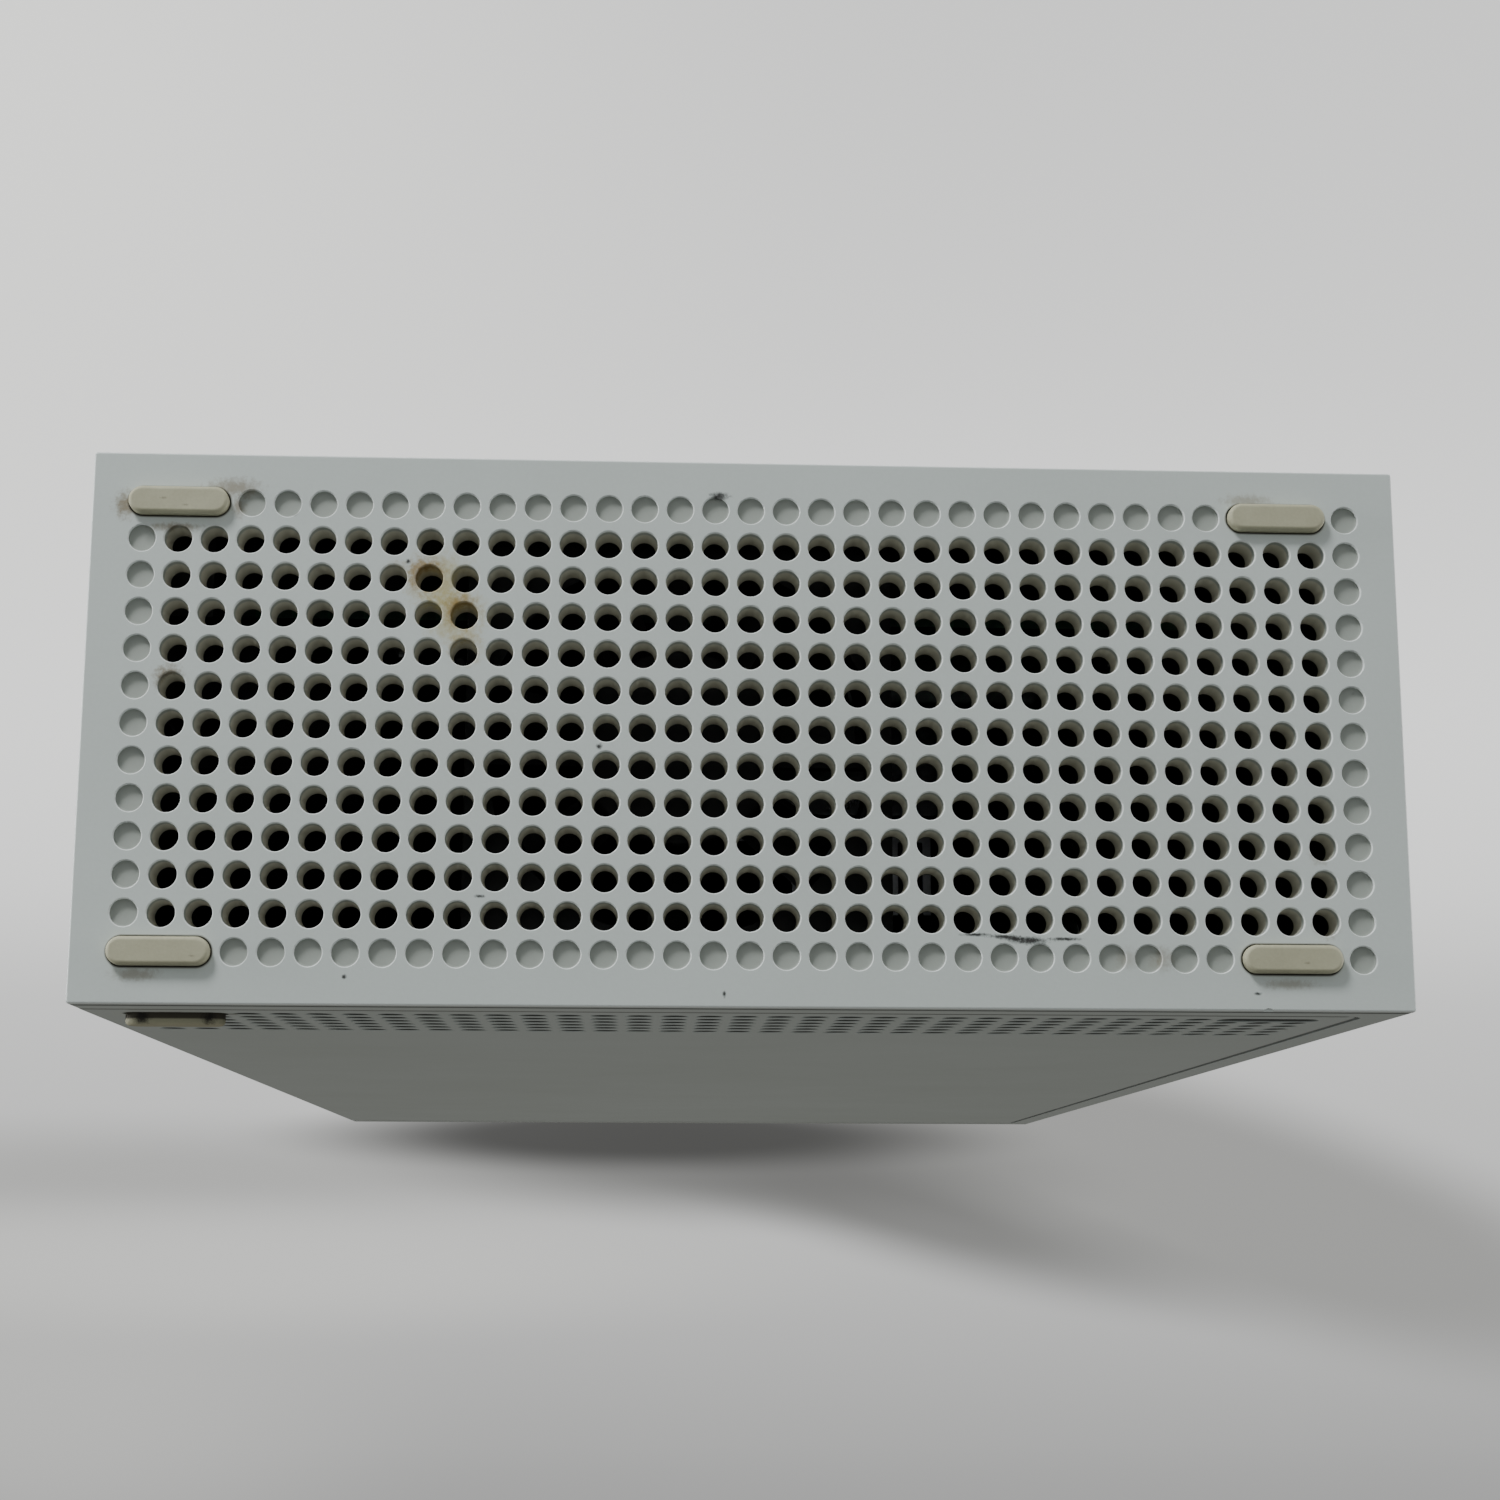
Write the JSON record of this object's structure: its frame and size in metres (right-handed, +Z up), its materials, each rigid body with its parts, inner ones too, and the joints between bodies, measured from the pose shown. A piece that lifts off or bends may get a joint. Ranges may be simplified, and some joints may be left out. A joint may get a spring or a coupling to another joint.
{
  "type": "wireless router",
  "caption": "Upright wireless router: a slim upright case with a perforated foot end, a removable side cover, rear sockets, push buttons and a cooling fan inside.",
  "frame": {"origin": "on the floor under the middle of the part's box, with the router standing on its foot end", "axes": "+Z up along the height, +Y towards the rear wall with the sockets, -Y the front with the light bar, +X the side cover with the vents, -X the plain side"},
  "size_m": [0.065, 0.151, 0.2762],
  "materials": {
    "case_plastic": "fine matt texture, light grey",
    "foot_rubber": "matt, beige grey",
    "circuit_board": "green solder mask",
    "dark_plastic": "moulded black",
    "sheet_steel": "tin plated sheet",
    "coated_steel": "black powder coat on sheet steel",
    "filter_mesh": "fine black woven mesh",
    "button_plastic": "satin, light grey",
    "light_plastic": "milky light guide",
    "silicone_pad": "soft, grey blue",
    "aluminium": "plain extruded",
    "screw_steel": "zinc plated",
    "antenna_board": "dark green laminate",
    "lead_sheath": "thin black sheath"
  },
  "bodies": {
    "case": {"main_shell": "case_plastic", "side_cover": "case_plastic", "foot_end_grille": "case_plastic", "top_end_grille": "case_plastic", "base_foot_rear_plain_side": "foot_rubber", "base_foot_front_plain_side": "foot_rubber", "base_foot_rear_cover_side": "foot_rubber", "base_foot_front_cover_side": "foot_rubber", "side_foot_rear": "foot_rubber", "main_board": "circuit_board", "light_board": "circuit_board", "wan_jack": "dark_plastic", "lan_jack_1": "dark_plastic", "lan_jack_2": "dark_plastic", "lan_jack_3": "dark_plastic", "lan_jack_4": "dark_plastic", "power_inlet": "dark_plastic", "power_switch": "dark_plastic", "reset_switch": "dark_plastic", "wps_switch": "dark_plastic", "fan_frame": "dark_plastic", "usb_socket": "sheet_steel", "processor_shield": "sheet_steel", "radio_shield": "sheet_steel", "fan_bracket": "coated_steel", "side_dust_filter": "filter_mesh", "light_bar": "light_plastic", "thermal_pad": "silicone_pad", "heat_sink": "aluminium", "board_screw_1": "screw_steel", "board_screw_2": "screw_steel", "board_screw_3": "screw_steel", "board_screw_4": "screw_steel", "cover_screw_1": "screw_steel", "cover_screw_2": "screw_steel", "antenna_1": "antenna_board", "antenna_2": "antenna_board", "antenna_3": "antenna_board", "antenna_4": "antenna_board", "antenna_lead_1": "lead_sheath", "antenna_lead_2": "lead_sheath", "antenna_lead_3": "lead_sheath", "antenna_lead_4": "lead_sheath", "fan_lead": "lead_sheath"},
    "power_button": {"power_button": "button_plastic"},
    "reset_button": {"reset_button": "button_plastic"},
    "wps_button": {"wps_button": "button_plastic"},
    "fan_rotor": {"fan_rotor": "dark_plastic"}
  },
  "joints": [
    {"name": "power_press", "type": "slide", "parent": "case", "child": "power_button", "axis": [0, -1, 0], "range_m": [0, 0.0015], "stiffness_N_per_m": 1200},
    {"name": "reset_press", "type": "slide", "parent": "case", "child": "reset_button", "axis": [0, -1, 0], "range_m": [0, 0.0008], "stiffness_N_per_m": 2000},
    {"name": "wps_press", "type": "slide", "parent": "case", "child": "wps_button", "axis": [0, 1, 0], "range_m": [0, 0.0012], "stiffness_N_per_m": 1300},
    {"name": "fan_spin", "type": "hinge", "parent": "case", "child": "fan_rotor", "pos_m": [-0.0007, 0.008, 0.0142], "axis": [0, 0, 1], "continuous": true}
  ]
}
